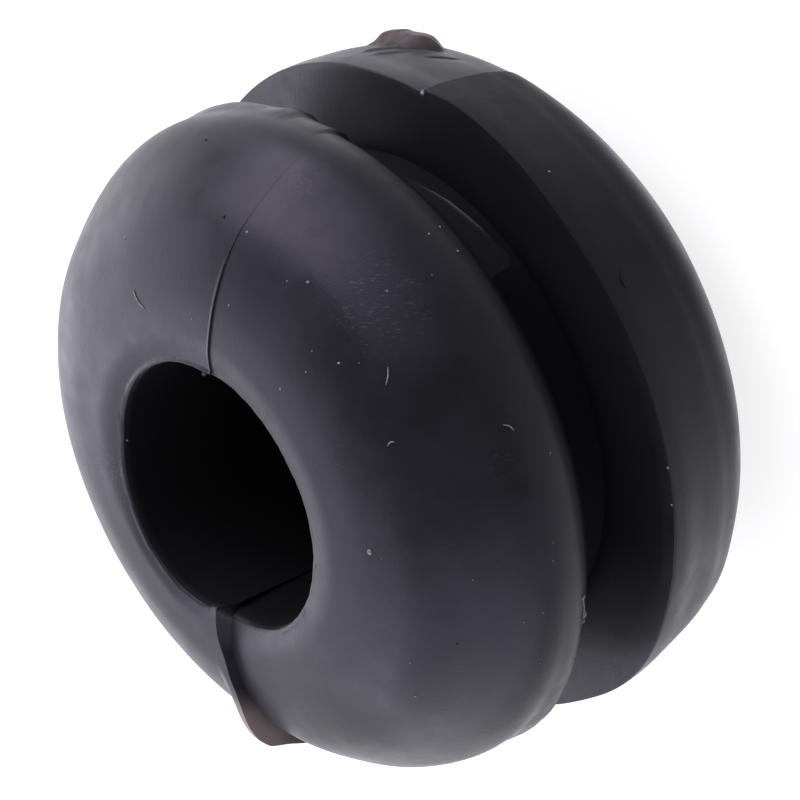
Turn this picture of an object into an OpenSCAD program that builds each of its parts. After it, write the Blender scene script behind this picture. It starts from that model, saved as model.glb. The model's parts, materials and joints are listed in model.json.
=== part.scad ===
// Rubber grommet: one moulded piece with two domed flanges, a panel groove and a through bore.
// The bore's axis is Z, and the grommet stands on the crest of its rear flange, at z = 0.
// The mould parted in the XZ plane: the upper parting line is on the +X side, the lower one on the -X side.

/* [Bore] */
// Diameter of the through bore
bore_d = 4.5; // [3:0.1:5]

/* [Panel groove] */
// Diameter of the groove's root, which is the panel hole that it fits
groove_d = 8; // [6.5:0.1:9]
// Width of the groove, which is the panel thickness that it takes
groove_w = 1.3; // [0.8:0.1:3]

/* [Flanges] */
// Diameter of the circle along which both domes are highest
crest_d = 5.24; // [5.1:0.02:6]
// Diameter of the circle that the front flange's dome swells to
front_d = 10.88; // [10.4:0.02:12]
// Thickness of the front flange, from the groove to its crest
front_t = 3.2; // [2.9:0.05:4.5]
// How far the front flange's groove edge sits in from the dome
front_edge_inset = 0.42; // [0.2:0.02:0.7]
// Radius that rounds the front flange into its groove edge
front_edge_r = 1.07; // [0.8:0.01:1.3]
// Diameter of the rear flange at its groove edge, where it is widest
rear_d = 11.1; // [10.6:0.02:12]
// Thickness of the rear flange, from the groove to its crest
rear_t = 3.15; // [2.9:0.05:4.5]
// Draft of the rear flange's side, in degrees from the bore's axis
rear_draft = 10; // [4:0.5:14]
// How much lower the -Y half of the front flange came out, because the mould's halves didn't meet exactly
parting_step = 0.12; // [0.02:0.01:0.2]

/* [Flash fin] */
// Thickness of the fin along the lower parting line
fin_t = 0.14; // [0.08:0.01:0.4]
// Height of the fin above the front flange at its highest point
fin_h = 0.3; // [0.15:0.01:0.5]
// Where the fin is highest, in degrees round the dome from the groove's plane
fin_angle = 40; // [32:1:60]
// Radius of the fin's outline
fin_r = 1.6; // [1.2:0.05:1.85]
// Angle of the outline's arc to each side of the highest point
fin_spread = 75; // [60:1:85]

/* [Flash film] */
// Thickness of the film that hangs from the front flange's groove edge
film_t = 0.12; // [0.06:0.01:0.3]
// How far the film hangs in from the groove edge
film_inset = 0.02; // [0.01:0.01:0.1]
// How far the film reaches into the groove
film_reach = 0.56; // [0.2:0.02:0.7]
// Direction of the film's torn end, in degrees round the axis from the upper parting line
film_torn_end = -36.5; // [-45:0.5:-34]
// Direction in which the film reaches furthest
film_peak = -26; // [-32:0.5:-20]
// Direction of the end at which the film runs out
film_thin_end = -8; // [-16:0.5:0]

/* [Gate scar] */
// Diameter of the stub left where the rubber entered the mould
gate_d = 1; // [0.6:0.05:1.5]
// Height of the stub at the high side of its torn face
gate_h = 0.24; // [0.12:0.02:0.4]
// Slope of the torn face, in degrees
gate_tear = 14; // [0:1:20]
// Diameter of the rubber pulled up beside the stub
gate_lump_d = 0.5; // [0.2:0.05:0.7]
// Height of the rubber pulled up beside the stub
gate_lump_h = 0.08; // [0.04:0.01:0.12]
// Direction of the gate, in degrees round the axis from the upper parting line
gate_turn = 24; // [10:1:80]
// Direction of the gate, in degrees round the dome from the groove's plane
gate_pitch = 21; // [15:1:45]

/* [Hidden] */
$fn = 180;
arc_step = 3;
rubber = [0.13, 0.13, 0.15];

// Heights of the groove's two walls
rear_wall_z = rear_t;
front_wall_z = rear_wall_z + groove_w;

// The front dome's section is an arc that touches the crest and the widest line
crest_r = crest_d / 2;
front_dome_r = front_d / 2 - crest_r;
front_foot_r = crest_r + sqrt(front_dome_r ^ 2 - (front_t - front_dome_r) ^ 2);
front_edge = [front_foot_r - front_edge_inset, 0];

// The rear dome's section is an arc that touches the crest and the drafted side
rear_rim_r = rear_d / 2;
rear_dome_r = ((rear_rim_r - crest_r) * cos(rear_draft) - rear_t * sin(rear_draft)) / (1 - sin(rear_draft));
rear_centre = [crest_r, rear_t - rear_dome_r];

// Both domes' arcs run on past the crest into the bore, which cuts them off
dome_end = 120;

function heading(from, to) = atan2(to[1] - from[1], to[0] - from[0]);
function ray(from, length, angle) = from + length * [cos(angle), sin(angle)];
function front_centre(thickness) = [crest_r, thickness - front_dome_r];

// Centre of the arc that passes through the groove edge and touches a front dome from inside
function edge_centre(centre) =
    let (span = norm(front_edge - centre))
    let (reach = front_dome_r - front_edge_r)
    let (along = (reach ^ 2 - front_edge_r ^ 2 + span ^ 2) / (2 * span))
    let (turn = acos(along / reach))
    ray(centre, reach, heading(centre, front_edge) + turn);

// Points along an arc, close enough together for a smooth section
function arc(centre, r, from, to) =
    let (steps = ceil(abs(to - from) / arc_step))
    [for (i = [0:steps]) ray(centre, r, from + (to - from) * i / steps)];

// Half section of the front flange, above its groove wall
module front_section(thickness) {
    centre = front_centre(thickness);
    bend = edge_centre(centre);
    join = heading(centre, bend);
    edge_arc = arc(bend, front_edge_r, heading(bend, front_edge), join);
    dome_arc = arc(centre, front_dome_r, join + arc_step, dome_end);
    polygon(concat([[0, 0]], edge_arc, dome_arc, [[0, thickness / 2]]));
}

// Half section of the rear flange, drawn upwards from its groove wall
module rear_section() {
    dome_arc = arc(rear_centre, rear_dome_r, rear_draft, dome_end);
    polygon(concat([[0, 0], [rear_rim_r, 0]], dome_arc, [[0, rear_t / 2]]));
}

// The front flange's two halves, as the two sides of the mould left them
module front_flange() {
    translate([0, 0, front_wall_z]) {
        rotate_extrude(angle = 180) front_section(front_t);
        rotate_extrude(angle = 180, start = 180) front_section(front_t - parting_step);
    }
}

module rear_flange() {
    translate([0, 0, rear_wall_z]) mirror([0, 0, 1]) rotate_extrude() rear_section();
}

// The hub joins the flanges, and its outside is the groove's root
module hub() {
    translate([0, 0, rear_t / 2]) cylinder(d = groove_d, h = rear_t / 2 + groove_w + front_t / 2);
}

// Thin fin of flash that stands in the parting plane on the lower side of the front flange
module flash_fin() {
    outline_centre = ray(front_centre(front_t), front_dome_r + fin_h - fin_r, fin_angle);
    translate([0, fin_t, front_wall_z]) rotate([90, 0, 0]) mirror([1, 0, 0]) linear_extrude(fin_t)
        polygon(arc(outline_centre, fin_r, fin_angle - fin_spread, fin_angle + fin_spread));
}

// Thin film of flash that hangs into the groove from the front flange's edge, with a rounded outline
module flash_film() {
    edge_r = front_edge[0] - film_inset;
    half_width = edge_r * sin(film_thin_end - film_peak);
    outline_r = (half_width ^ 2 + film_reach ^ 2) / (2 * film_reach);
    translate([0, 0, front_wall_z]) intersection() {
        rotate_extrude(angle = film_thin_end - film_torn_end, start = film_torn_end)
            translate([edge_r - film_t, -film_reach]) square([film_t, film_reach + film_t]);
        rotate(film_peak) translate([0, 0, outline_r - film_reach]) rotate([0, 90, 0])
            cylinder(r = outline_r, h = front_d);
    }
}

// Torn stub of the gate on the side of the rear flange, with a lump of pulled rubber beside it
module gate_scar() {
    seat = ray(rear_centre, rear_dome_r, gate_pitch);
    gate_r = gate_d / 2;
    cutter = 4 * gate_d;
    rotate(gate_turn) translate([seat[0], 0, rear_wall_z - seat[1]]) rotate([0, 90 + gate_pitch, 0]) {
        difference() {
            translate([0, 0, -gate_r]) cylinder(r = gate_r, h = gate_r + gate_h);
            translate([0, gate_r, gate_h]) rotate([gate_tear, 0, 0])
                translate([0, 0, cutter / 2]) cube(cutter, center = true);
        }
        translate([0, -gate_r, -gate_r]) cylinder(d = gate_lump_d, h = gate_r + gate_lump_h);
    }
}

module grommet() {
    top_z = front_wall_z + front_t;
    color(rubber) difference() {
        union() {
            front_flange();
            rear_flange();
            hub();
            flash_fin();
            flash_film();
            gate_scar();
        }
        translate([0, 0, -top_z / 2]) cylinder(d = bore_d, h = 2 * top_z);
    }
}

grommet();
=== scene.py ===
"""Rubber grommet: the moulded skin, its flash and its dust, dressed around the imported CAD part.

Sizes are in millimetres in the part's own frame: the bore's axis is Z, and the grommet stands on the crest of
its rear flange. Angles round the axis are in degrees from the upper parting line, which is on the +X side.
Angles round the front dome are in degrees from the level of the dome's centre, so that its crest is at 90.
A pair of numbers in a fade, rise or reach is where it starts and where it ends.
"""

import json
import math
from functools import cached_property

import bpy
import numpy as np
from mathutils import Matrix, Vector, noise
from mathutils.bvhtree import BVHTree


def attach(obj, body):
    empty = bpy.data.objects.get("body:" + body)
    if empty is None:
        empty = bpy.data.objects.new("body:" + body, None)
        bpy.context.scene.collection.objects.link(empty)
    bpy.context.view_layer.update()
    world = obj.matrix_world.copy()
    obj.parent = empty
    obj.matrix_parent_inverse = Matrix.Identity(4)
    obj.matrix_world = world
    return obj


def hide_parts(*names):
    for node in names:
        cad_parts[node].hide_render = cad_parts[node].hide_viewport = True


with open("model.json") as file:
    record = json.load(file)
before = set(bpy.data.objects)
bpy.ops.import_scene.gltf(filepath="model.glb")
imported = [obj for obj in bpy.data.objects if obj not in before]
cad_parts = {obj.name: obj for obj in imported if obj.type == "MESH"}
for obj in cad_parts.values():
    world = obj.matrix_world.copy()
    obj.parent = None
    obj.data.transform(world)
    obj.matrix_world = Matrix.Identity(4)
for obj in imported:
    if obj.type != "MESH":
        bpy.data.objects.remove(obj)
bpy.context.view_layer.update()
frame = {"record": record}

MM = 0.001
IMAGE_SIZE = 800

# The half section, with heights measured from the groove wall of each flange
BORE_R = frame["record"]["mounts"][0]["dims"]["r_mm"]
GROOVE_R = 4.0
REAR_WALL_Z = 3.15
FRONT_WALL_Z = 4.45
FRONT_CURVE = [(5.0, 0.0), (5.26, 0.3), (5.41, 0.65), (5.43, 1.02), (5.3, 1.42), (5.02, 1.89),
               (4.64, 2.39), (4.15, 2.77), (3.5, 3.04), (2.9, 3.17), (2.6, 3.19), (2.29, 3.15)]
REAR_CURVE = [(5.55, 0.0), (5.5, 0.4), (5.3, 1.15), (5.17, 1.5), (4.96, 1.93), (4.58, 2.31),
              (4.02, 2.69), (3.41, 3.01), (2.9, 3.13), (2.6, 3.15), (2.36, 3.13)]
FRONT_DOME_CENTRE = (2.62, 0.38)

# How far the bore's edge lies in from the end of each dome, along the bore
LIP_DROP = 0.02

# Round-overs where two faces meet, with their size and their number of steps
MOUTH_ROUND = 0.025
RIM_ROUND = 0.025
FRONT_MOUTH_STEPS = 5
REAR_MOUTH_STEPS = 4
RIM_STEPS = 4

# Steps from one given point of a curve to the next, before the curve is spaced evenly
CURVE_STEPS = 30

# Spacing of the skin's rows along the domes, which is closer near the mouth and round the gate
FRONT_SPACING = 0.075
REAR_SPACING = 0.11
MOUTH_SPACING = 0.018
MOUTH_ROWS_R = 2.5
GATE_SPACING = 0.026
GATE_ROWS_DEPTH = 1.23
GATE_ROWS_REACH = 0.75

# Rows of the bore: an even spacing down to some depth, and a few heights below it
BORE_SPACING = 0.16
BORE_ROWS_DEPTH = 2.4
BORE_ROWS_Z = (3.9, 2.8, 1.7, 0.8, 0.4)

# Rows of the groove: radii on its rear wall, a count on its root, and distances in from its front edge
REAR_WALL_ROWS = (5.3, 5.0, 4.7, 4.4)
ROOT_ROWS = 5
FRONT_WALL_ROWS = (0.75, 0.55, 0.35, 0.24, 0.18, 0.15, 0.135, 0.12, 0.105, 0.085, 0.06, 0.04, 0.025, 0.0235,
                   0.022, 0.02, 0.017, 0.014, 0.011, 0.007)

# Columns of the skin: two at the foot of the fin, and bands by their first and last angle and their spacing
FIN_COLUMNS = (-179.94, -179.9)
COLUMN_BANDS = [(-180, -170, 1.0), (-170, -60, 1.6), (-60, -38, 1.4), (-38, -36, 0.15), (-36, -6, 0.7),
                (-6, -1.2, 0.7), (-1.2, 0, 0.15), (0, 1.2, 0.2), (1.2, 6, 0.3), (6, 9, 0.6), (9, 31, 0.28),
                (31, 60, 1.3), (60, 170, 1.6), (170, 176, 0.5), (176, 180, 0.16)]

# Edges of the skin that bend more than this are shaded sharp
SHARP_ANGLE = 42

# The -Y half of the front flange, which the mould left low: its shift at the lower and upper parting lines
LOWER_RIM_SHIFT = (-0.25, 0.0, -0.26)
LOWER_MOUTH_SHIFT = (-0.08, 0.0, -0.2)
UPPER_SHIFT = (0.0, 0.0, -0.022)
UPPER_RIM_SHARE = 0.5

# How that shift spreads round the axis, down the bore and round the dome, where the bore counts as one angle
LOWER_REACH = 62
UPPER_REACH = 50
BORE_REACH = 0.35
BORE_DOME_ANGLE = 95
SHIFT_RISE = (2, 30)
LOWER_MOUTH_RISE = (50, 95)
UPPER_MOUTH_RISE = (38, 62)

# How far the edge of the bore's mouth stands out from the bore, by the angle round the axis
MOUTH_EDGE = [(90, 0.0), (112, 0.1), (135, 0.19), (155, 0.17), (170, 0.03), (180, -0.1)]

# How far that outline carries over the dome and down the bore
MOUTH_REACH = 0.6
MOUTH_DEPTH = 2.5

# The chipped corner of the +Y half, where the lower parting line meets the mouth
CHIP = 0.14
CHIP_REACH = 0.45
CHIP_RISE = (80, 96)

# A fine ridge of the mould on the +Y half, beside the upper parting line
SEAM_RIDGE = 0.01
SEAM_RIDGE_FADE = (0, 1)
SEAM_RIDGE_RISE = (50, 70)

# A fine ridge of the mould round part of the bore's mouth
MOUTH_RIDGE = 0.035
MOUTH_RIDGE_R = 2.28
MOUTH_RIDGE_WIDTH = 0.03
MOUTH_RIDGE_DEPTH = 0.12
MOUTH_RIDGE_RISE = (-8, 4)
MOUTH_RIDGE_FADE = (50, 80)

# Height of the fin of flash at the lower parting line, by the angle round the front dome
FIN_EDGE = [(8, 0.0), (20, 0.14), (27, 0.2), (31, 0.23), (39, 0.34), (44, 0.32), (48, 0.28), (58, 0.15),
            (66, 0.055), (78, 0.0), (100, 0.0)]

# How far from the parting line the fin is full and where it ends, and its lean, which is full at some height
FIN_FULL = 0.1
FIN_BASE = 0.34
FIN_LEAN = 0.07
FIN_LEAN_HEIGHT = 0.12

# Depth of the film of flash that hangs from the front flange's groove edge, by the angle round the axis
FILM_EDGE = [(-36.9, 0.0), (-36.3, 0.44), (-34.2, 0.56), (-31.5, 0.47), (-28, 0.44), (-25, 0.39), (-20, 0.31),
             (-16, 0.2), (-13.5, 0.13), (-10, 0.04), (-8, 0.0)]

# Thickness of the film, and the widths over which its front and back fall away
FILM_T = 0.12
FILM_FRONT = 0.025
FILM_BACK = 0.03

# Flash that squares off the front flange's groove edge: how far it stands out, by the angle round the axis
EDGE_FLASH = [(-160, 0.0), (-148, 0.17), (-138, 0.3), (-128, 0.3), (-118, 0.21), (-106, 0.12), (-98, 0.09),
              (-85, 0.04), (-60, 0.03), (-45, 0.0), (2.8, 0.0), (3.6, 0.1), (6, 0.1), (8.5, 0.09),
              (10.5, 0.1), (12.5, 0.19), (15, 0.21), (19, 0.15), (25, 0.22), (30, 0.27), (38, 0.27),
              (46, 0.22), (56, 0.13), (72, 0.05), (90, 0.0)]
EDGE_TAPER = 0.75

# How uneven that flash is, with the size of its bumps and their seed
EDGE_UNEVEN = 0.08
EDGE_BUMPS = (0.3, 8)

# How far each flange swells or shrinks from a true round, by the angle round the axis
FRONT_SWELL = [(-180, -0.05), (-150, -0.05), (-125, 0.0), (20, 0.0), (34, 0.008), (45, 0.0), (57, 0.032),
               (66, 0.05), (80, 0.05), (108, 0.01), (140, -0.045), (180, -0.05)]
REAR_SWELL = [(-180, -0.12), (-152, -0.14), (-142, -0.13), (-132, -0.02), (-123, 0.06), (-112, 0.07),
              (-102, 0.05), (-88, 0.0), (-60, -0.01), (-42, -0.055), (-25, -0.1), (-8, -0.1), (0, -0.085),
              (14, -0.05), (24, -0.01), (38, 0.0), (50, -0.03), (72, -0.03), (90, -0.05), (110, -0.06),
              (180, -0.12)]

# Where the swell fades out, by the angle round the front dome and by the depth below the rear groove edge
FRONT_SWELL_FADE = (55, 85)
REAR_SWELL_FADE = (2.2, 2.9)

# The degrees over which a table's corners are rounded, and the shares of them at which it is read
TABLE_BLUR = 4
BLUR_STEPS = (-1, -0.6, -0.2, 0.2, 0.6, 1)

# How far the rear flange's side draws in under its groove edge on the -Y half, by the angle round the axis
TUCK = [(-172, 0.0), (-155, 0.05), (-132, 0.05), (-119, 0.0), (-112, 0.045), (-105, 0.07), (-97, 0.045),
        (-90, 0.03), (-78, 0.0)]
TUCK_DEPTH = 0.8

# How far the rear flange's groove edge stands out on the -Y half, by the angle round the axis
RIM_EDGE = [(-180, 0.0), (-106, 0.0), (-96, 0.055), (-88, 0.09), (-60, 0.095), (-45, 0.09), (-36, 0.08),
            (-28, 0.14), (-20, 0.16), (-10, 0.15), (-4, 0.11), (0, -0.02), (6, -0.1), (60, 0.0), (180, 0.0)]
RIM_WIDTH = 1.8

# How far the rear flange's groove edge falls away on the +Y half, by the angle round the axis
LAND_EDGE = [(-60, 0.0), (-5, 0.04), (0, 0.04), (12, 0.1), (30, 0.11), (40, 0.08), (50, 0.03), (60, 0.0)]
LAND_WIDTH = 1.1

# The flat land from the gate to the upper parting line: its depth, and its reach across and along the rim
LAND_DEPTH = 0.04
LAND_RISE = (0.1, 0.6)
LAND_FADE = (1.8, 2.6)
LAND_REACH = (6, 46)

# How far the upper parting line leans on the rear flange's side, for each millimetre below the groove edge
SEAM_SLANT = 0.08
SEAM_REACH = 16
SEAM_FADE = (1.8, 2.8)

# The gate's torn stub on the rear flange: lobes by place along and across the rim, half sizes and height
GATE_ANGLE = 23.8
GATE_DEPTH = 1.43
GATE_LOBES = [(0.0, 0.0, 0.8, 0.44, 0.15), (0.16, 0.0, 0.36, 0.38, 0.19), (-0.28, 0.0, 0.5, 0.38, 0.18)]

# Where a lobe falls off, by the square of the distance in half sizes, and how softly lobes join
LOBE_FALL = (0.1, 1.1)
LOBE_BLEND = 0.5

# How ragged a lobe's outline and its height are, with the size of the bumps and their seed
LOBE_RAGGED = 0.25
LOBE_UNEVEN = 0.12
GATE_BUMPS = (0.22, 3)

# Fine creases beside the gate, each by its distance from it, half width, height, start and end
GATE_CREASES = [(0.52, 0.055, 0.032, -0.75, 0.7), (0.68, 0.05, -0.03, -0.2, 0.65),
                (0.81, 0.055, 0.025, -0.6, 0.55), (1.15, 0.055, -0.03, 0.2, 0.95)]

# Their turn from the rim, how they fade at their ends, how ragged they are, and the strength of the painted
# highlight on their crests
CREASE_TURN = 126
CREASE_FADE = 0.25
CREASE_RAGGED = 0.03
CREASE_HIGHLIGHT = 0.6

# The ragged lip of the mouth: its reach, and its bumps by height, size and seed
LIP_R = 2.34
LIP_DEPTH = 0.1
LIP_BUMPS = [(0.01, 0.35, 5), (0.007, 0.12, 6)]

# The slight waves of the whole surface, with their size and seed, which leave the rear crest as it is
WAVE_HEIGHT = 0.012
WAVES = (1.7, 1)
WAVE_FADE = (2.5, 3)

# The torn rubber: the stub's height at which its colour is full, how strong that is, and how uneven
TORN_HEIGHT = 0.1
TORN_SHARE = 0.75
TORN_UNEVEN = 0.4

# Pale thin flash, partly its own colour and partly a painted highlight: the fin by its height, with a painted
# highlight on the shaded column at its foot, and the painted highlight on the creases
PALE_FIN_HEIGHT = (0.04, 0.16)
FOOT_HIGHLIGHT_ANGLE = -179.92
FOOT_HIGHLIGHT_SHARE = 0.6
CREASE_HIGHLIGHT_SHARE = 0.08

# A painted highlight on the film's edge: its strength by the angle round the axis, its place on the film, and
# how uneven it is
FILM_HIGHLIGHT = [(-30, 0), (-24, 1), (-17, 1), (-13, 0)]
FILM_HIGHLIGHT_RISE = (0.86, 0.96)
FILM_HIGHLIGHT_WIDTH = 0.05
FILM_HIGHLIGHT_SHARE = 0.5
FILM_HIGHLIGHT_EVEN = 0.6
FILM_HIGHLIGHT_UNEVEN = 0.4
FILM_HIGHLIGHT_BUMPS = (0.08, 9)

# Painted shade with duller gloss in the bore, the groove with its edges and the flanges' -Y sides beside it,
# by the angle round the axis, and how that fades
DULL_SHADE_WALL = [(-118, 0.0), (-98, 0.8), (0, 0.8), (30, 0.0)]
DULL_SHADE_DOME = [(-70, 0.0), (-50, 0.4), (-8, 0.4), (-1, 0.0)]
DULL_SHADE_SIDE = [(-88, 0.0), (-66, 0.35), (-45, 0.7), (-0.2, 0.7), (0, 0.0)]
DULL_SHADE_BORE_RISE = (0.03, 0.12)
DULL_SHADE_EDGE_FADE = (0.08, 0.4)
DULL_SHADE_DOME_FADE = (15, 40)
DULL_SHADE_SIDE_FADE = (1.6, 2.6)

# Dust and lint by pixels of the photograph: specks with their size, and fibres with their ends and bow
PALE_SPECKS = [(429, 234, 0.04), (387, 291, 0.04), (440, 227, 0.036), (458, 251, 0.04), (432, 275, 0.024),
               (308, 282, 0.048), (287, 281, 0.032), (312, 351, 0.024), (339, 363, 0.044), (359, 363, 0.024),
               (306, 372, 0.032), (125, 238, 0.04), (192, 319, 0.032), (229, 305, 0.036), (247, 232, 0.04),
               (280, 389, 0.048), (266, 414, 0.04), (127, 440, 0.048), (315, 566, 0.04), (204, 373, 0.11),
               (370, 552, 0.09), (381, 559, 0.024), (553, 543, 0.024), (553, 561, 0.024), (415, 696, 0.048),
               (410, 663, 0.032), (540, 663, 0.032), (524, 622, 0.032), (543, 613, 0.032), (550, 453, 0.032),
               (473, 580, 0.024), (423, 93, 0.09), (549, 172, 0.048), (668, 468, 0.04), (672, 505, 0.04),
               (583, 597, 0.1), (584, 614, 0.13), (583, 621, 0.08)]
PALE_FIBRES = [((386, 385), (388, 367), 1), ((503, 425), (514, 431), -2), ((388, 446), (395, 442), -2),
               ((134, 290), (145, 309), 2), ((581, 622), (582, 597), 2)]
DARK_SPECKS = [(224, 217, 0.06), (206, 140, 0.04), (457, 644, 0.04)]
DARK_FIBRES = [((622, 268), (626, 288), 3)]

# The shape of a speck: its sides, the heights of its rings, and how uneven, lumpy and flat it is
SPECK_SIDES = 8
SPECK_RINGS = (-0.8, -0.4, 0.1, 0.55, 0.9)
SPECK_UNEVEN = 0.55
SPECK_LUMPS = 1.3
SPECK_FLAT = 0.7

# Where surfaces and specks take their noise: steps from one seed to the next, and the specks' fixed places
SEED_STEP = (17.3, 5.1, 9.7)
SPECK_SEED_STEP = 3.7
SPECK_NOISE_PLACE = (0.5, 0.9)

# The shape of a fibre: its radius, sides, rise off the skin, thickness at the tips, and points along it
FIBRE_R = 0.012
FIBRE_SIDES = 6
FIBRE_RISE = 0.7
FIBRE_TIP = 0.3
FIBRE_POINTS = 13

# More dust on the sides that the photograph doesn't show, thrown from afar at places near the middle
DUST_SEED = 11
UNSEEN_SPECKS = 70
UNSEEN_SIZE = (0.025, 0.06)
UNSEEN_START = 20
UNSEEN_SPREAD = 3
UNSEEN_LOWEST = 0.15
UNSEEN_CLEARANCE = 0.01

# One in so many of these is a fibre, with its length, its bow and the points along it
LINT_EVERY = 9
LINT_FIRST = 4
LINT_LENGTH = 0.28
LINT_BOW = 0.1
LINT_POINTS = 9

# Colours of the rubber
VIOLET = (0.86, 0.82, 1, 1)
RUBBER_DARK = (0.0088, 0.0084, 0.0108, 1)
RUBBER_PALE = (0.0132, 0.0126, 0.0162, 1)
# The next colour is painted shade: darker rubber for the bore, the groove and the flanges' -Y sides beside it
PAINTED_SHADE_COLOUR = (0.0062, 0.006, 0.0068, 1)
TORN_COLOUR = (0.062, 0.043, 0.04, 1)
# The pale flash colour, which also paints highlights on the fin's foot, the creases and the film's edge
FLASH_AND_HIGHLIGHT_COLOUR = (0.19, 0.154, 0.15, 1)
SCUFF_COLOUR = (0.07, 0.069, 0.074, 1)

# Gloss of the rubber
RUBBER_ROUGHNESS = (0.31, 0.4)
SMUDGE_ROUGHNESS = (-0.04, 0.04)
TORN_ROUGHNESS = 0.2
DULL_ROUGHNESS = 0.2
SPECULAR = 0.16
DULL_SPECULAR = 0.03
SHEEN = 0.16
SHEEN_ROUGHNESS = 0.3

# Mottling, smudges and grain of the rubber by size and detail, the span of the noise, and the grain's bump
MOTTLE = (0.9, 5)
SMUDGE = (0.35, 4)
GRAIN = (0.05, 3)
MOTTLE_SPAN = (0.3, 0.7)
GRAIN_STRENGTH = 0.3
GRAIN_DEPTH = 0.008

# Fine scuffs, which are thick round one pixel of the photograph and strewn in patches elsewhere
SCUFF_PIXEL = (382, 300)
SCUFF_AXIS = (0, -0.66, -0.75)
SCUFF_LENGTH = 0.13
SCUFF_WIDTH = 0.03
SCUFF_DETAIL = 2
SCUFF_SPAN = (0.58, 0.7)
SCUFF_REACH = (0.2, 1.0)
SCUFF_PATCH = (0.3, 2)
SCUFF_PATCH_SPAN = (0.4, 0.6)
STRAY_PATCH = (2.2, 2)
STRAY_PATCH_SPAN = (0.6, 0.75)
STRAY_SHARE = 0.5

# Finish of the dust and the grit
DUST_DARK = (0.085, 0.083, 0.09, 1)
DUST_PALE = (0.23, 0.226, 0.243, 1)
GRIT_DARK = (0.003, 0.003, 0.003, 1)
GRIT_PALE = (0.008, 0.008, 0.008, 1)
DUST_MOTTLE = (0.03, 3)
DUST_SPAN = (0.35, 0.65)
DUST_ROUGHNESS = 0.9
DUST_SPECULAR = 0.2
DUST_GRAIN = (0.012, 2)
DUST_STRENGTH = 0.4
DUST_DEPTH = 0.004

# The photograph's camera
CAMERA_AZIMUTH = 40.94
CAMERA_ELEVATION = 32.27
CAMERA_ROLL = -117.0
CAMERA_DISTANCE = 241.5
CAMERA_AIM = (0.219, -0.187, 3.999)
FOCAL_LENGTH = 699.5
SENSOR = 36
CLIP_START = 10

# The stage
FLOOR_R = 1000
FLOOR_SIDES = 96
BACKDROP_R = 450
BACKDROP_H = 220
BACKDROP_SPREAD = 95
BACKDROP_COLUMNS = 60
STAGE_GREY = 0.3
STAGE_GLOW = 0.8

# The lamps by name, azimuth, elevation, distance, size and radiance, and the light of the room
LAMPS = [("key", 118.8, 16.1, 60, 46, 6.6), ("second_key", 86, 29, 60, 36, 2.4),
         ("side_panel", -66, 20, 80, 120, 2.0), ("low_panel", -24, 14, 80, 60, 0.6),
         ("back_panel", -170, 20, 90, 84, 2.4), ("rear_panel", -124, 46, 90, 82, 2.4),
         ("top_panel", 170, 52, 90, 70, 0.8)]
LAMP_TINT = (0.98, 0.95, 1.06)
ROOM_LIGHT = 0.35


def ramp(low, high, value):
    """A straight step from 0 at low to 1 at high."""
    return np.clip((value - low) / (high - low), 0, 1)


def ease(low, high, value):
    """A smooth step from 0 at low to 1 at high."""
    t = ramp(low, high, value)
    return t * t * (3 - 2 * t)


def read(table, place):
    """A value from a table, which runs straight between its rows and level beyond its ends."""
    places, values = np.array(table).T
    return np.interp(place, places, values)


def read_round(table, theta):
    """A value from a table by the angle round the axis, with the table's corners rounded."""
    angles, values = np.array(table).T
    turns = [theta + TABLE_BLUR * step for step in BLUR_STEPS]
    return np.mean([np.interp(turn, angles, values, period=360) for turn in turns], axis=0)


def ragged(places, size, seed):
    """Smooth noise between -1 and 1 at each place, with bumps of about that size."""
    shift = Vector([seed * step for step in SEED_STEP])
    flat = np.reshape(places, (-1, 3)) / size
    values = np.array([noise.noise(Vector(p) + shift) for p in flat])
    return values.reshape(np.shape(places)[:-1])


def direction(azimuth, elevation):
    """The unit vector towards a camera or lamp at that azimuth and elevation."""
    a = math.radians(azimuth)
    e = math.radians(elevation)
    return Vector((math.sin(a) * math.cos(e), -math.cos(a) * math.cos(e), math.sin(e)))


def curve(points, spacing):
    """Points at an even spacing along a smooth curve through a few given points."""
    points = np.array(points, float)
    padded = np.vstack([2 * points[0] - points[1], points, 2 * points[-1] - points[-2]])
    t = np.linspace(0, 1, CURVE_STEPS, endpoint=False)[:, None]
    fine = []
    for a, b, c, d in zip(padded, padded[1:], padded[2:], padded[3:]):
        bend = (2 * a - 5 * b + 4 * c - d) * t ** 2
        twist = (3 * b - a - 3 * c + d) * t ** 3
        fine.append(0.5 * (2 * b + (c - a) * t + bend + twist))
    fine = np.vstack(fine + [points[-1:]])
    length = np.r_[0, np.cumsum(np.hypot(*np.diff(fine, axis=0).T))]
    even = np.linspace(0, length[-1], round(length[-1] / spacing) + 1)
    return np.column_stack([np.interp(even, length, fine[:, k]) for k in (0, 1)])


def round_corner(before, corner, after, size, steps):
    """A small round-over between two runs that meet at a corner."""
    before, corner, after = (np.array(p, float) for p in (before, corner, after))
    start = corner + (before - corner) * size / np.linalg.norm(before - corner)
    end = corner + (after - corner) * size / np.linalg.norm(after - corner)
    t = np.linspace(0, 1, steps + 1)[:, None]
    return (1 - t) ** 2 * start + 2 * t * (1 - t) * corner + t ** 2 * end


def refined(points, chosen, spacing):
    """The same run of points, with the chosen stretch at a closer spacing."""
    first, last = np.flatnonzero(chosen)[[0, -1]]
    return np.vstack([points[:first], curve(points[first:last + 1], spacing), points[last + 1:]])


def level_run(radii, height):
    """A run of points at one height."""
    return np.column_stack([radii, np.full(len(radii), height)])


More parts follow.
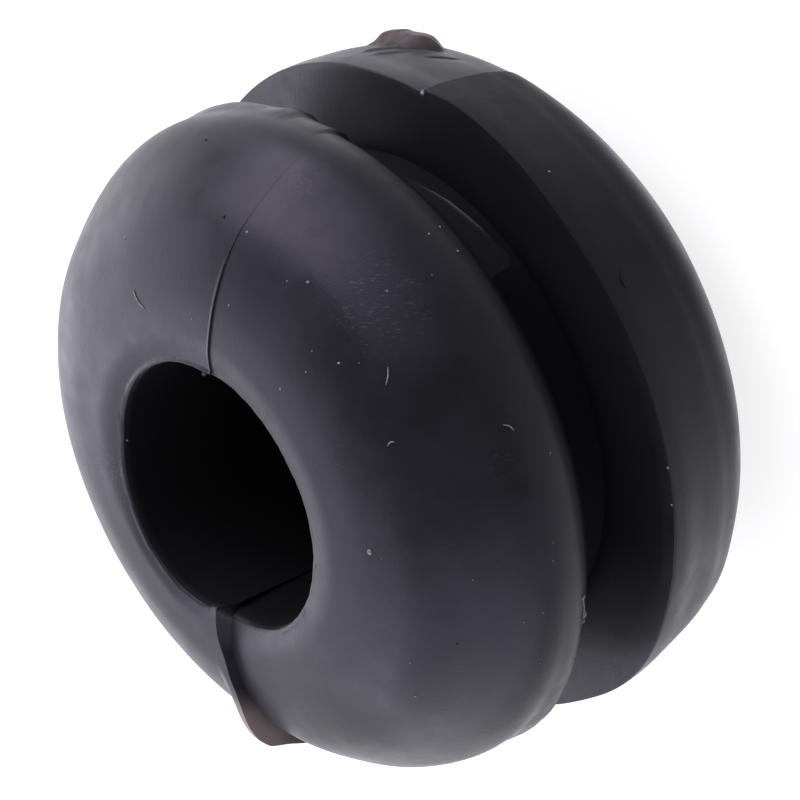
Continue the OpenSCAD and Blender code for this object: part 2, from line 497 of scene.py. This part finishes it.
def section():
    """The half section as one closed loop of radius and height, with the zone that each point is in."""
    front = curve(FRONT_CURVE, FRONT_SPACING) + (0, FRONT_WALL_Z)
    front = refined(front, front[:, 0] < MOUTH_ROWS_R, MOUTH_SPACING)
    rear = curve(REAR_CURVE, REAR_SPACING)
    rear = refined(rear, np.abs(rear[:, 1] - GATE_ROWS_DEPTH) < GATE_ROWS_REACH, GATE_SPACING)
    rear = (rear * (1, -1) + (0, REAR_WALL_Z))[::-1]

    front_mouth = (BORE_R, front[-1][1] - LIP_DROP)
    rear_mouth = (BORE_R, rear[0][1] + LIP_DROP)
    fine_z = np.arange(front_mouth[1] - BORE_SPACING, front_mouth[1] - BORE_ROWS_DEPTH, -BORE_SPACING)
    bore_z = np.r_[fine_z, BORE_ROWS_Z]
    rear_rim = (REAR_CURVE[0][0], REAR_WALL_Z)
    rear_root = (GROOVE_R, REAR_WALL_Z)
    front_root = (GROOVE_R, FRONT_WALL_Z)
    front_edge_r = FRONT_CURVE[0][0]
    runs = [
        ("bore", round_corner(front[-1], front_mouth, rear_mouth, MOUTH_ROUND, FRONT_MOUTH_STEPS)),
        ("bore", np.column_stack([np.full(len(bore_z), BORE_R), bore_z])),
        ("bore", round_corner(front_mouth, rear_mouth, rear[0], MOUTH_ROUND, REAR_MOUTH_STEPS)),
        ("rear", rear[:-1]),
        ("rear", round_corner(rear[-2], rear_rim, rear_root, RIM_ROUND, RIM_STEPS)),
        ("rear_wall", level_run(REAR_WALL_ROWS, REAR_WALL_Z)),
        ("root", np.linspace(rear_root, front_root, ROOT_ROWS)),
        ("front_wall", level_run(front_edge_r - np.array(FRONT_WALL_ROWS), FRONT_WALL_Z)),
        ("front", front),
    ]
    zones = np.concatenate([[name] * len(points) for name, points in runs])
    return np.vstack([points for _, points in runs]), zones


def column_angles():
    """Angles of the skin's columns, close together at the parting lines, the film and the gate."""
    bands = [np.arange(low, high - step / 2, step) for low, high, step in COLUMN_BANDS]
    return np.r_[FIN_COLUMNS, np.concatenate(bands)[1:], 180]


class Skin:
    """The moulded skin as a grid of columns round the axis and rows along the section.

    A feature moves its points by a shift along the frame's axes, or by a lift off the plain surface.
    """

    def __init__(self):
        points, zones = section()
        self.radius, self.height = points.T
        along = np.roll(points, -1, 0) - np.roll(points, 1, 0)
        normal = np.column_stack([along[:, 1], -along[:, 0]])
        normal = normal / np.linalg.norm(normal, axis=1)[:, None]

        self.theta = column_angles()[:, None]
        self.cos = np.cos(np.radians(self.theta))
        self.sin = np.sin(np.radians(self.theta))
        self.base = self.revolve(self.radius, self.height)
        self.outward = self.revolve(*normal.T)
        self.shift = np.zeros(self.base.shape)
        self.lift = np.zeros(self.base.shape[:-1])

        self.low_half = self.theta < 0
        self.high_half = ~self.low_half
        self.front = zones == "front"
        self.bore = zones == "bore"
        self.rear = zones == "rear"
        self.root = zones == "root"
        self.front_wall = zones == "front_wall"
        self.rear_wall = zones == "rear_wall"

        centre_r, centre_z = FRONT_DOME_CENTRE
        self.above_wall = self.height - FRONT_WALL_Z
        dome_angle = np.degrees(np.arctan2(self.above_wall - centre_z, self.radius - centre_r))
        self.dome_angle = np.where(self.bore, BORE_DOME_ANGLE, dome_angle)
        self.mouth_depth = FRONT_CURVE[-1][1] + FRONT_WALL_Z - self.height
        self.bore_lip = self.bore * (1 - ease(0, BORE_REACH, self.mouth_depth))
        self.edge_gap = FRONT_CURVE[0][0] - self.radius
        self.rear_depth = REAR_WALL_Z - self.height
        self.from_lower_seam = self.radius * np.radians(180 - self.theta)

    def revolve(self, out, up):
        """A vector for each column and row, from parts that point out from the axis and up along it."""
        return np.stack([out * self.cos, out * self.sin, up + 0 * self.cos], -1)

    def push(self, amount):
        """Shift the points straight out from the axis."""
        self.shift[..., 0] += amount * self.cos
        self.shift[..., 1] += amount * self.sin

    def drop_half(self):
        """The -Y half of the front flange, which the mould left low."""
        moved = (self.front * ease(*SHIFT_RISE, self.dome_angle) + self.bore_lip) * self.low_half
        lower = moved * (1 - ease(0, LOWER_REACH, self.theta + 180))
        upper = moved * ease(-UPPER_REACH, 0, self.theta)
        upper = upper * (UPPER_RIM_SHARE + (1 - UPPER_RIM_SHARE) * ease(*UPPER_MOUTH_RISE, self.dome_angle))
        at_mouth = ease(*LOWER_MOUTH_RISE, self.dome_angle)[:, None]
        lower_shift = (1 - at_mouth) * np.array(LOWER_RIM_SHIFT) + at_mouth * np.array(LOWER_MOUTH_SHIFT)
        self.shift += lower[..., None] * lower_shift + upper[..., None] * np.array(UPPER_SHIFT)

    def raise_fin(self):
        """The fin of flash on the +Y half, which leans over the other half where it is tall."""
        self.fin_full = self.front * read(FIN_EDGE, self.dome_angle)
        self.fin = self.fin_full * (1 - ease(FIN_FULL, FIN_BASE, self.from_lower_seam)) * self.high_half
        self.lift += self.fin
        leaning = FIN_LEAN * ramp(0, FIN_LEAN_HEIGHT, self.fin)
        self.shift[..., 1] -= leaning * (1 - ease(0, FIN_BASE, self.from_lower_seam))

    def chip_corner(self):
        """The chipped corner of the +Y half at the mouth."""
        at_lip = self.front * ease(*CHIP_RISE, self.dome_angle) + self.bore_lip
        at_corner = at_lip * self.high_half * (1 - ease(0, CHIP_REACH, self.from_lower_seam))
        self.shift[..., 1] += CHIP * at_corner

    def shape_mouth(self):
        """The uneven outline of the bore's mouth."""
        near_mouth = self.front * (1 - ease(BORE_R, BORE_R + MOUTH_REACH, self.radius))
        near_mouth = near_mouth + self.bore * (1 - ease(0, MOUTH_DEPTH, self.mouth_depth))
        self.push(read(MOUTH_EDGE, self.theta) * near_mouth)

    def hang_film(self):
        """The film of flash in the groove."""
        back = 1 - ease(FILM_T, FILM_T + FILM_BACK, self.edge_gap)
        self.film = ease(0, FILM_FRONT, self.edge_gap) * back * self.front_wall
        self.shift[..., 2] -= read(FILM_EDGE, self.theta) * self.film

    def square_edge(self):
        """The flash that squares off the front flange's groove edge."""
        near_edge = self.front * (1 - ease(0, EDGE_TAPER, self.above_wall))
        near_edge = near_edge + self.front_wall * (1 - ease(0, EDGE_TAPER, self.edge_gap))
        uneven = 1 + EDGE_UNEVEN * ragged(self.base, *EDGE_BUMPS)
        self.push(read(EDGE_FLASH, self.theta) * near_edge * uneven)

    def tear_gate(self):
        """The torn stub of the gate, and the creases beside it, with a painted highlight on the raised ones.
        """
        beside = self.radius * np.radians(self.theta - GATE_ANGLE)
        across = (self.rear_depth - GATE_DEPTH) + 0 * self.theta
        rough = ragged(self.base, *GATE_BUMPS)
        stub = np.zeros(beside.shape)
        for x, y, half_x, half_y, tall in GATE_LOBES:
            far = ((beside - x) / half_x) ** 2 + ((across - y) / half_y) ** 2 + LOBE_RAGGED * rough
            lobe = tall * (1 + LOBE_UNEVEN * rough) * (1 - ease(*LOBE_FALL, far))
            stub = np.hypot(stub, lobe) * LOBE_BLEND + np.maximum(stub, lobe) * (1 - LOBE_BLEND)

        turn = math.radians(CREASE_TURN)
        along = math.cos(turn) * beside + math.sin(turn) * across
        away = math.cos(turn) * across - math.sin(turn) * beside
        creases = np.zeros(beside.shape)
        pale = np.zeros(beside.shape)
        for place, width, tall, start, end in GATE_CREASES:
            inside = ease(start, start + CREASE_FADE, along) * (1 - ease(end - CREASE_FADE, end, along))
            line = inside * np.exp(-((away - place + CREASE_RAGGED * rough) / width) ** 2)
            creases = creases + tall * line
            # Painted highlight along the crests of the raised creases
            pale = pale + (tall > 0) * line * (CREASE_HIGHLIGHT + rough)
        self.lift += self.rear * (stub + creases)
        self.torn = ramp(0, TORN_HEIGHT, self.rear * stub) * (TORN_SHARE + TORN_UNEVEN * rough)
        self.crease_highlight = np.clip(self.rear * pale, 0, 1)

    def swell(self):
        """The flanges' swell from a true round, and the rear flange's groove edge."""
        front_swell = read_round(FRONT_SWELL, self.theta) * (1 - ease(*FRONT_SWELL_FADE, self.dome_angle))
        self.lift += self.front * front_swell
        tuck = read_round(TUCK, self.theta) * ease(0, TUCK_DEPTH, self.rear_depth)
        rear_swell = read_round(REAR_SWELL, self.theta) - tuck
        rear_swell = rear_swell * (1 - ease(*REAR_SWELL_FADE, self.rear_depth))
        rim = read_round(RIM_EDGE, self.theta) * (1 - ramp(0, RIM_WIDTH, self.rear_depth)) ** 2
        land = -read_round(LAND_EDGE, self.theta) * (1 - ease(0, LAND_WIDTH, self.rear_depth))
        self.push(self.rear * (rear_swell + np.where(self.low_half, rim, land)))

    def lean_seam(self):
        """The lean of the upper parting line on the rear flange."""
        slant = self.rear * SEAM_SLANT * self.rear_depth * (1 - ease(*SEAM_FADE, self.rear_depth))
        slant = slant * (1 - ease(0, SEAM_REACH, np.abs(self.theta)))
        self.shift[..., 0] -= slant * self.sin
        self.shift[..., 1] += slant * self.cos

    def flatten_land(self):
        """The flat land between the gate and the upper parting line."""
        land = ease(*LAND_RISE, self.rear_depth) * (1 - ease(*LAND_FADE, self.rear_depth))
        land = land * (1 - ease(*LAND_REACH, self.theta))
        self.lift -= self.rear * self.high_half * LAND_DEPTH * land

    def raise_ridges(self):
        """The fine ridges that the mould left."""
        beside_seam = self.high_half * (1 - ease(*SEAM_RIDGE_FADE, self.theta))
        self.lift += self.front * SEAM_RIDGE * beside_seam * ease(*SEAM_RIDGE_RISE, self.dome_angle)
        ridge = np.exp(-((self.radius - MOUTH_RIDGE_R) / MOUTH_RIDGE_WIDTH) ** 2)
        ridge = ridge * (self.bore | self.front) * (self.mouth_depth < MOUTH_RIDGE_DEPTH)
        part = ease(*MOUTH_RIDGE_RISE, self.theta) * (1 - ease(*MOUTH_RIDGE_FADE, self.theta))
        self.lift += MOUTH_RIDGE * ridge * part

    def roughen(self):
        """The ragged lip of the mouth, and the slight waves of the whole surface."""
        lip = np.exp(-(self.mouth_depth / LIP_DEPTH) ** 2) * (self.bore | self.front) * (self.radius < LIP_R)
        self.lift += lip * sum(height * ragged(self.base, size, seed) for height, size, seed in LIP_BUMPS)
        waves = WAVE_HEIGHT * ragged(self.base, *WAVES)
        self.lift += waves * (1 - self.rear * ease(*WAVE_FADE, self.rear_depth))

    def moulded(self):
        """The points of the skin with every feature in place."""
        self.drop_half()
        self.raise_fin()
        self.chip_corner()
        self.shape_mouth()
        self.hang_film()
        self.square_edge()
        self.tear_gate()
        self.swell()
        self.lean_seam()
        self.flatten_land()
        self.raise_ridges()
        self.roughen()
        return self.base + self.shift + self.outward * self.lift[..., None]

    def pale_flash_and_highlights(self):
        """Where thin flash is painted pale, partly its own colour and partly a painted highlight, with
        painted highlights on the fin's foot, the creases and the film's edge.
        """
        # Painted highlight on the shaded column at the fin's foot
        foot = self.fin_full * (self.theta < FOOT_HIGHLIGHT_ANGLE)
        fin = ramp(*PALE_FIN_HEIGHT, self.fin) + FOOT_HIGHLIGHT_SHARE * ramp(*PALE_FIN_HEIGHT, foot)
        # Painted highlight along the film's edge
        film = ramp(*FILM_HIGHLIGHT_RISE, self.film) * (self.edge_gap < FILM_HIGHLIGHT_WIDTH)
        film = film * read(FILM_HIGHLIGHT, self.theta)
        uneven = FILM_HIGHLIGHT_EVEN + FILM_HIGHLIGHT_UNEVEN * ragged(self.base, *FILM_HIGHLIGHT_BUMPS)
        return fin + CREASE_HIGHLIGHT_SHARE * self.crease_highlight + FILM_HIGHLIGHT_SHARE * film * uneven

    def dull(self):
        """Where the rubber is painted darker and made duller, as painted shade in the bore, the groove with
        its edges and the flanges' -Y sides beside it.
        """
        bore = self.bore * ease(*DULL_SHADE_BORE_RISE, self.mouth_depth)
        rise = ease(*DULL_SHADE_EDGE_FADE, self.above_wall)
        edge = self.front * (1 - rise)
        dome = read(DULL_SHADE_DOME, self.theta) * rise * (1 - ease(*DULL_SHADE_DOME_FADE, self.dome_angle))
        wall = self.rear_wall * read(DULL_SHADE_WALL, self.theta)
        side = read(DULL_SHADE_SIDE, self.theta) * (1 - ease(*DULL_SHADE_SIDE_FADE, self.rear_depth))
        return bore + self.root + self.front_wall + edge + self.front * dome + wall + self.rear * side

    def looks(self):
        """The looks of the rubber at each point, once every feature is in place."""
        return {"torn": self.torn, "flash": self.pale_flash_and_highlights(), "dull": self.dull()}


def mesh_object(name, points, faces):
    """A new object from points in millimetres and faces."""
    mesh = bpy.data.meshes.new(name)
    mesh.from_pydata((np.asarray(points) * MM).tolist(), [], faces)
    mesh.validate()
    thing = bpy.data.objects.new(name, mesh)
    bpy.context.scene.collection.objects.link(thing)
    return thing


def make_skin():
    """The moulded skin, closed both ways, and a search tree of it in millimetres."""
    skin = Skin()
    grid = skin.moulded()
    columns, rows = grid.shape[:2]
    faces = []
    for i in range(columns):
        j = (i + 1) % columns
        for k in range(rows):
            m = (k + 1) % rows
            faces.append((i * rows + k, j * rows + k, j * rows + m, i * rows + m))
    points = grid.reshape(-1, 3)
    thing = mesh_object("grommet_skin", points, faces)
    thing.data.shade_smooth()
    thing.data.set_sharp_from_angle(angle=math.radians(SHARP_ANGLE))
    for name, values in skin.looks().items():
        layer = thing.data.attributes.new(name, "FLOAT", "POINT")
        layer.data.foreach_set("value", np.ascontiguousarray(values, dtype=np.float32).reshape(-1))
    return thing, BVHTree.FromPolygons(points.tolist(), faces)


def camera_axes():
    """The photograph's right and up, and the direction towards its camera, which is rolled on its side."""
    towards = direction(CAMERA_AZIMUTH, CAMERA_ELEVATION)
    level = direction(CAMERA_AZIMUTH + 90, 0)
    right = Matrix.Rotation(math.radians(CAMERA_ROLL), 3, towards) @ level
    return right, towards.cross(right), towards


def pick(tree, pixel):
    """The point of the skin that shows at a pixel of the photograph, and the skin's normal there."""
    right, up, towards = camera_axes()
    reach = SENSOR / FOCAL_LENGTH / IMAGE_SIZE
    x = (pixel[0] - IMAGE_SIZE / 2) * reach
    y = (IMAGE_SIZE / 2 - pixel[1]) * reach
    eye = Vector(CAMERA_AIM) + towards * CAMERA_DISTANCE
    place, normal, _, _ = tree.ray_cast(eye, right * x + up * y - towards)
    return place, normal


def speck(place, normal, size, seed):
    """Points and faces of a small irregular lump that is half sunk in the skin."""
    turn = normal.to_track_quat("Z", "Y")
    flat = Vector((1, 1, SPECK_FLAT))
    seed_place = Vector((seed * SPECK_SEED_STEP, *SPECK_NOISE_PLACE))
    points = []
    for height in SPECK_RINGS:
        ring = math.sqrt(1 - height * height)
        for k in range(SPECK_SIDES):
            a = 2 * math.pi * k / SPECK_SIDES
            way = Vector((ring * math.cos(a), ring * math.sin(a), height))
            long = 1 + SPECK_UNEVEN * noise.noise(way * SPECK_LUMPS + seed_place)
            points.append(place + turn @ (way * long * size / 2 * flat))
    top = (len(SPECK_RINGS) - 1) * SPECK_SIDES
    faces = []
    for low in range(0, top, SPECK_SIDES):
        high = low + SPECK_SIDES
        for k in range(SPECK_SIDES):
            m = (k + 1) % SPECK_SIDES
            faces.append((low + k, low + m, high + m, high + k))
    faces.append(tuple(range(top, top + SPECK_SIDES)))
    faces.append(tuple(range(SPECK_SIDES - 1, -1, -1)))
    return points, faces


def fibre(tree, guide):
    """Points and faces of a thin fibre that lies on the skin along a few guide points."""
    laid = [tree.find_nearest(place)[:2] for place in guide]
    path = [place + normal * FIBRE_R * FIBRE_RISE for place, normal in laid]
    count = len(path)
    points = []
    for k, (_, normal) in enumerate(laid):
        along = (path[min(k + 1, count - 1)] - path[max(k - 1, 0)]).normalized()
        side = along.cross(normal).normalized()
        width = FIBRE_R * (FIBRE_TIP + (1 - FIBRE_TIP) * math.sin(math.pi * k / (count - 1)) ** 0.5)
        for step in range(FIBRE_SIDES):
            a = 2 * math.pi * step / FIBRE_SIDES
            points.append(path[k] + (side * math.cos(a) + normal * math.sin(a)) * width)
    last = (count - 1) * FIBRE_SIDES
    faces = []
    for low in range(0, last, FIBRE_SIDES):
        high = low + FIBRE_SIDES
        for step in range(FIBRE_SIDES):
            m = (step + 1) % FIBRE_SIDES
            faces.append((low + step, low + m, high + m, high + step))
    faces.append(tuple(range(FIBRE_SIDES - 1, -1, -1)))
    faces.append(tuple(range(last, last + FIBRE_SIDES)))
    return points, faces


def pixel_guide(tree, start, end, bend):
    """Guide points of a fibre between two pixels of the photograph, bowed sideways by some pixels."""
    start, end = Vector(start), Vector(end)
    side = Vector((start.y - end.y, end.x - start.x)).normalized()
    guide = []
    for t in np.linspace(0, 1, FIBRE_POINTS):
        place, _ = pick(tree, start.lerp(end, t) + side * bend * 4 * t * (1 - t))
        guide.append(place)
    return guide


def lint_guide(place, normal):
    """Guide points of a bowed fibre that starts near a place on the skin."""
    along = normal.orthogonal().normalized()
    side = normal.cross(along)
    steps = np.linspace(0, 1, LINT_POINTS)
    return [place + along * LINT_LENGTH * (t - 0.5) + side * LINT_BOW * t * t for t in steps]


def unseen_dust(tree):
    """More specks and fibres on the sides that the photograph doesn't show."""
    draw = np.random.RandomState(DUST_SEED)
    _, _, towards = camera_axes()
    middle = Vector((0, 0, FRONT_WALL_Z))
    lumps = []
    while len(lumps) < UNSEEN_SPECKS:
        way = Vector(draw.normal(size=3)).normalized()
        start = middle + way * UNSEEN_START
        aim = Vector(draw.uniform(-1, 1, size=3)) * UNSEEN_SPREAD
        size = draw.uniform(*UNSEEN_SIZE)
        place, normal, _, _ = tree.ray_cast(start, middle + aim - start)
        if place is None or place.z < UNSEEN_LOWEST:
            continue
        if tree.ray_cast(place + normal * UNSEEN_CLEARANCE, towards)[0] is None:
            continue
        if len(lumps) % LINT_EVERY == LINT_FIRST:
            lumps.append(fibre(tree, lint_guide(place, normal)))
        else:
            lumps.append(speck(place, normal, size, len(lumps)))
    return lumps


def joined(name, lumps):
    """One object from many small lumps."""
    points = []
    faces = []
    for lump_points, lump_faces in lumps:
        first = len(points)
        points.extend(tuple(point) for point in lump_points)
        faces.extend(tuple(first + k for k in face) for face in lump_faces)
    thing = mesh_object(name, points, faces)
    thing.data.shade_smooth()
    return thing


def make_dust(tree):
    """The pale dust and lint, and the dark grit, that lie on the rubber."""
    pale = [speck(*pick(tree, (x, y)), size, x + y) for x, y, size in PALE_SPECKS]
    pale += [fibre(tree, pixel_guide(tree, *strand)) for strand in PALE_FIBRES]
    pale += unseen_dust(tree)
    dark = [speck(*pick(tree, (x, y)), size, x + y) for x, y, size in DARK_SPECKS]
    dark += [fibre(tree, pixel_guide(tree, *strand)) for strand in DARK_FIBRES]
    return joined("dust", pale), joined("grit", dark)


class Paint:
    """A material with a Principled shader, and short calls for the nodes that feed it."""

    def __init__(self, name):
        self.material = bpy.data.materials.new(name)
        self.material.use_nodes = True
        self.nodes = self.material.node_tree.nodes
        self.links = self.material.node_tree.links
        self.shader = self.nodes["Principled BSDF"]

    @cached_property
    def place(self):
        """The place in the piece's own frame, from one node that is made when it is first needed."""
        return self.nodes.new("ShaderNodeTexCoord").outputs["Object"]

    def join(self, value, socket):
        """Link a node's output to a socket, or set the socket to a plain value."""
        if isinstance(value, bpy.types.NodeSocket):
            self.links.new(value, socket)
        else:
            socket.default_value = value

    def set(self, **values):
        """Set the shader's own sockets, with underscores for the spaces in their names."""
        for name, value in values.items():
            self.join(value, self.shader.inputs[name.replace("_", " ")])

    def speckle(self, size, detail, place=None):
        """Noise whose features are about that many millimetres."""
        node = self.nodes.new("ShaderNodeTexNoise")
        node.inputs["Scale"].default_value = 1 / (size * MM)
        node.inputs["Detail"].default_value = detail
        self.links.new(place or self.place, node.inputs["Vector"])
        return node.outputs[0]

    def layer(self, name):
        """One of the values that the skin carries at each point."""
        node = self.nodes.new("ShaderNodeAttribute")
        node.attribute_name = name
        return node.outputs["Fac"]

    def remap(self, value, low, high, to_low, to_high):
        """A value carried from one range to another, and held at its ends."""
        node = self.nodes.new("ShaderNodeMapRange")
        for socket, given in zip(node.inputs, (value, low, high, to_low, to_high)):
            self.join(given, socket)
        return node.outputs[0]

    def combine(self, operation, first, second):
        """Two values combined by one operation."""
        node = self.nodes.new("ShaderNodeMath")
        node.operation = operation
        self.join(first, node.inputs[0])
        self.join(second, node.inputs[1])
        return node.outputs[0]

    def blend(self, factor, first, second):
        """A colour between two others."""
        node = self.nodes.new("ShaderNodeMix")
        node.data_type = "RGBA"
        self.join(factor, node.inputs[0])
        self.join(first, node.inputs[6])
        self.join(second, node.inputs[7])
        return node.outputs[2]

    def bump(self, height, strength, depth):
        """Fine relief of that depth in millimetres."""
        node = self.nodes.new("ShaderNodeBump")
        node.inputs["Strength"].default_value = strength
        node.inputs["Distance"].default_value = depth * MM
        self.links.new(height, node.inputs["Height"])
        self.links.new(node.outputs[0], self.shader.inputs["Normal"])


def scuffs(paint, centre):
    """Fine scuffs that all run one way, thick near the given place and thin elsewhere."""
    turn = paint.nodes.new("ShaderNodeMapping")
    turn.inputs["Rotation"].default_value = Vector(SCUFF_AXIS).to_track_quat("X", "Z").inverted().to_euler()
    paint.links.new(paint.place, turn.inputs["Vector"])
    stretch = paint.nodes.new("ShaderNodeMapping")
    stretch.inputs["Scale"].default_value = (SCUFF_WIDTH / SCUFF_LENGTH, 1, 1)
    paint.links.new(turn.outputs[0], stretch.inputs["Vector"])
    streaks = paint.speckle(SCUFF_WIDTH, SCUFF_DETAIL, stretch.outputs[0])
    streaks = paint.remap(streaks, *SCUFF_SPAN, 0, 1)
    away = paint.nodes.new("ShaderNodeVectorMath")
    away.operation = "DISTANCE"
    away.inputs[1].default_value = centre * MM
    paint.links.new(paint.place, away.inputs[0])
    near = paint.remap(away.outputs["Value"], SCUFF_REACH[0] * MM, SCUFF_REACH[1] * MM, 1, 0)
    patches = paint.remap(paint.speckle(*SCUFF_PATCH), *SCUFF_PATCH_SPAN, 0, 1)
    near = paint.combine("MULTIPLY", near, patches)
    elsewhere = paint.remap(paint.speckle(*STRAY_PATCH), *STRAY_PATCH_SPAN, 0, STRAY_SHARE)
    return paint.combine("MULTIPLY", streaks, paint.combine("MAXIMUM", near, elsewhere))


def rubber_material(scuff_centre):
    """Satin black rubber, mottled and grained, with a violet sheen and scuffs, and brown where it is torn."""
    paint = Paint("rubber")
    mottle = paint.speckle(*MOTTLE)
    grain = paint.speckle(*GRAIN)
    marks = scuffs(paint, scuff_centre)
    torn = paint.layer("torn")
    dull = paint.layer("dull")
    colour = paint.blend(paint.remap(mottle, *MOTTLE_SPAN, 0, 1), RUBBER_DARK, RUBBER_PALE)
    colour = paint.blend(marks, colour, SCUFF_COLOUR)
    # Painted shade: darker rubber in the bore, the groove and the flanges' -Y sides beside it
    colour = paint.blend(dull, colour, PAINTED_SHADE_COLOUR)
    colour = paint.blend(torn, colour, TORN_COLOUR)
    # Pale thin flash, with painted highlights on the fin and its foot, the creases and the film's edge
    colour = paint.blend(paint.layer("flash"), colour, FLASH_AND_HIGHLIGHT_COLOUR)
    smudge = paint.remap(paint.speckle(*SMUDGE), *MOTTLE_SPAN, *SMUDGE_ROUGHNESS)
    rough = paint.combine("ADD", paint.remap(mottle, *MOTTLE_SPAN, *RUBBER_ROUGHNESS), smudge)
    rough = paint.combine("ADD", rough, paint.combine("MULTIPLY", torn, TORN_ROUGHNESS))
    rough = paint.combine("ADD", rough, paint.combine("MULTIPLY", dull, DULL_ROUGHNESS))
    specular = paint.remap(dull, 0, 1, SPECULAR, DULL_SPECULAR)
    sheen = paint.remap(dull, 0, 1, SHEEN, 0)
    paint.set(Base_Color=colour, Roughness=rough, Specular_IOR_Level=specular, Specular_Tint=VIOLET,
              Sheen_Weight=sheen, Sheen_Roughness=SHEEN_ROUGHNESS, Sheen_Tint=VIOLET)
    paint.bump(paint.combine("ADD", grain, marks), GRAIN_STRENGTH, GRAIN_DEPTH)
    return paint.material


def dust_material(name, dark, pale):
    """Matt dust, a little uneven in colour."""
    paint = Paint(name)
    colour = paint.blend(paint.remap(paint.speckle(*DUST_MOTTLE), *DUST_SPAN, 0, 1), dark, pale)
    paint.set(Base_Color=colour, Roughness=DUST_ROUGHNESS, Specular_IOR_Level=DUST_SPECULAR)
    paint.bump(paint.speckle(*DUST_GRAIN), DUST_STRENGTH, DUST_DEPTH)
    return paint.material


def stage_material():
    """A plain pale finish for the floor and backdrop, which look white to the eye and in gloss.

    They are grey to the light that falls on them, so they still take the grommet's shadow.
    """
    paint = Paint("stage")
    path = paint.nodes.new("ShaderNodeLightPath")
    seen = paint.combine("ADD", path.outputs["Is Camera Ray"], path.outputs["Is Glossy Ray"])
    seen = paint.combine("ADD", seen, path.outputs["Is Transmission Ray"])
    paint.set(Base_Color=(STAGE_GREY, STAGE_GREY, STAGE_GREY, 1), Roughness=1, Specular_IOR_Level=0,
              Emission_Color=(1, 1, 1, 1), Emission_Strength=paint.combine("MULTIPLY", seen, STAGE_GLOW))
    return paint.material


def make_stage():
    """A floor, and a low curved backdrop on the far side from the camera."""
    material = stage_material()
    turns = np.radians(np.linspace(0, 360, FLOOR_SIDES, endpoint=False))
    rim = np.column_stack([np.cos(turns), np.sin(turns), 0 * turns]) * FLOOR_R
    floor = mesh_object("floor", rim, [tuple(range(len(rim)))])
    behind = CAMERA_AZIMUTH + 180
    turns = np.linspace(behind - BACKDROP_SPREAD, behind + BACKDROP_SPREAD, BACKDROP_COLUMNS)
    foot = np.array([direction(turn, 0) for turn in turns]) * BACKDROP_R
    wall = np.vstack([foot, foot + (0, 0, BACKDROP_H)])
    count = len(foot)
    faces = [(k, k + 1, count + k + 1, count + k) for k in range(count - 1)]
    backdrop = mesh_object("backdrop", wall, faces)
    for thing in (floor, backdrop):
        thing.data.materials.append(material)


def softbox(name, azimuth, elevation, distance, size, radiance):
    """A square lamp that faces the middle of the grommet, with an even radiance."""
    data = bpy.data.lights.new(name, "AREA")
    data.shape = "SQUARE"
    data.size = size * MM
    data.energy = radiance * math.pi * (size * MM) ** 2
    data.color = LAMP_TINT
    lamp = bpy.data.objects.new(name, data)
    middle = Vector((0, 0, FRONT_WALL_Z))
    towards = direction(azimuth, elevation)
    lamp.location = (middle + towards * distance) * MM
    lamp.rotation_euler = towards.to_track_quat("Z", "Y").to_euler()
    bpy.context.scene.collection.objects.link(lamp)


def make_lights():
    """Soft studio light: a key softbox with a weaker one beside it, and panels, in a dim room."""
    for lamp in LAMPS:
        softbox(*lamp)
    world = bpy.data.worlds.new("room")
    bpy.context.scene.world = world
    world.use_nodes = True
    background = world.node_tree.nodes["Background"]
    background.inputs["Color"].default_value = (1, 1, 1, 1)
    background.inputs["Strength"].default_value = ROOM_LIGHT


def make_camera():
    """The photograph's camera."""
    right, up, towards = camera_axes()
    data = bpy.data.cameras.new("camera")
    data.sensor_width = SENSOR
    data.lens = FOCAL_LENGTH
    data.clip_start = CLIP_START * MM
    camera = bpy.data.objects.new("camera", data)
    place = Matrix((right, up, towards)).transposed().to_4x4()
    place.translation = (Vector(CAMERA_AIM) + towards * CAMERA_DISTANCE) * MM
    camera.matrix_world = place
    bpy.context.scene.collection.objects.link(camera)
    bpy.context.scene.camera = camera


bpy.context.scene.view_settings.view_transform = "Standard"
make_camera()
make_stage()
make_lights()
skin_piece, skin_tree = make_skin()
skin_piece.data.materials.append(rubber_material(pick(skin_tree, SCUFF_PIXEL)[0]))
dust_piece, grit_piece = make_dust(skin_tree)
dust_piece.data.materials.append(dust_material("dust", DUST_DARK, DUST_PALE))
grit_piece.data.materials.append(dust_material("grit", GRIT_DARK, GRIT_PALE))
for piece in (skin_piece, dust_piece, grit_piece):
    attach(piece, "root")
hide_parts("grommet")
